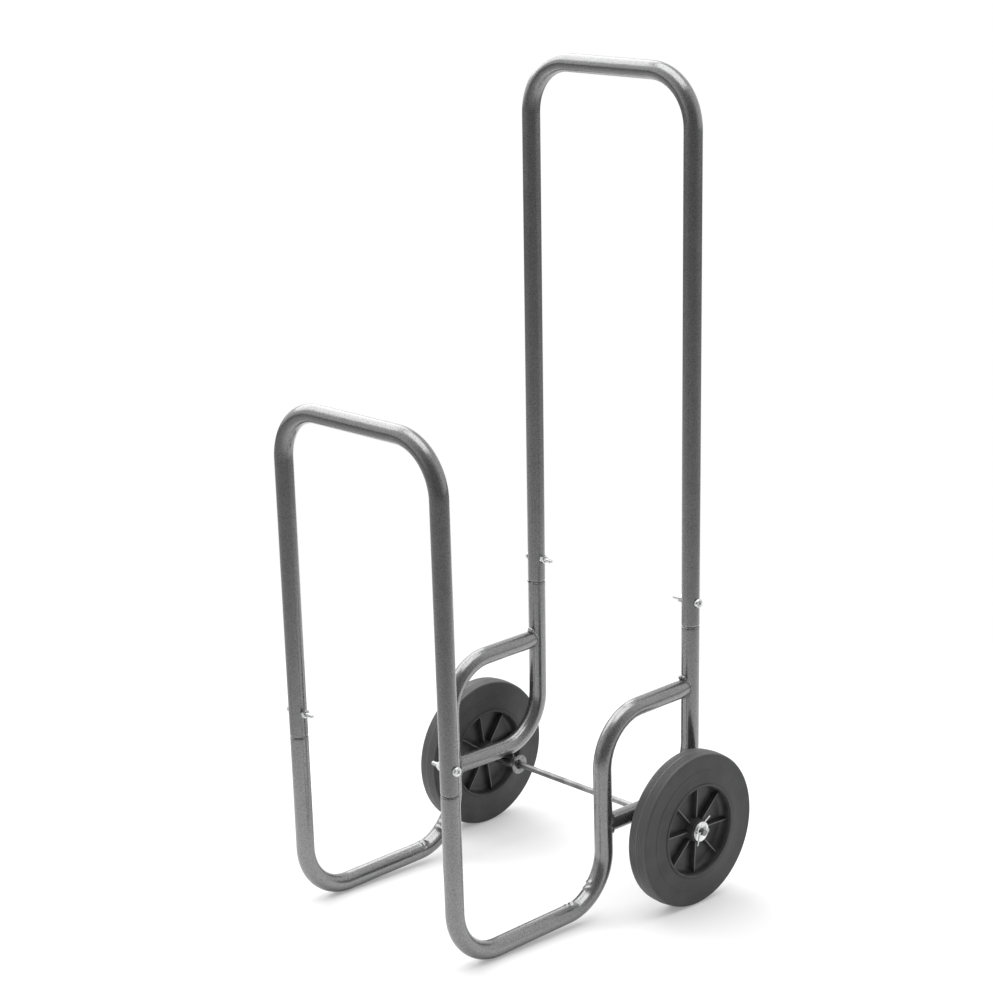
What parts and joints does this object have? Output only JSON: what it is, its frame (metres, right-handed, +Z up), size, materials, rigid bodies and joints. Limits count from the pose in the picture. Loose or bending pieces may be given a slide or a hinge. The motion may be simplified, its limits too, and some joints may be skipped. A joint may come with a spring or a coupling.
{
  "type": "fireside log cart",
  "caption": "Two-wheeled log cart of bent grey tube: low skids with a front hoop, a tall handle hoop, and solid-tyred wheels on a straight axle.",
  "frame": {"origin": "on the floor, centred under the cart's overall box", "axes": "+Z up; the handle stands at +Y and the front hoop at -Y; X runs along the axle, with the side called right at +X, as seen by someone who faces the front hoop"},
  "size_m": [0.4304, 0.4875, 1.0396],
  "materials": {
    "frame_paint": "mid grey hammered paint, satin to glossy",
    "weld": "darker grey paint over weld beads and sleeve",
    "zinc": "bright zinc plate",
    "tyre": "solid dark grey rubber, matt",
    "hub": "black moulded plastic"
  },
  "bodies": {
    "cart_frame": {"front_hoop": "frame_paint", "handle_hoop": "frame_paint", "left_skid_tube": "frame_paint", "right_skid_tube": "frame_paint", "left_rear_post": "frame_paint", "right_rear_post": "frame_paint", "left_frame_welds": "weld", "right_frame_welds": "weld", "left_axle_sleeve": "weld", "right_axle_sleeve": "weld", "axle": "zinc", "left_inner_washer": "zinc", "right_inner_washer": "zinc", "left_outer_washer": "zinc", "right_outer_washer": "zinc", "left_split_pin": "zinc", "right_split_pin": "zinc", "front_hoop_screws": "zinc", "front_hoop_nuts": "zinc", "handle_screws": "zinc", "handle_nuts": "zinc"},
    "left_wheel": {"left_tyre": "tyre", "left_hub": "hub"},
    "right_wheel": {"right_tyre": "tyre", "right_hub": "hub"}
  },
  "joints": [
    {"name": "left_wheel_spin", "type": "hinge", "parent": "cart_frame", "child": "left_wheel", "pos_m": [-0.1905, 0.14376, 0.1], "axis": [1, 0, 0], "continuous": true},
    {"name": "right_wheel_spin", "type": "hinge", "parent": "cart_frame", "child": "right_wheel", "pos_m": [0.1905, 0.14376, 0.1], "axis": [1, 0, 0], "continuous": true}
  ]
}
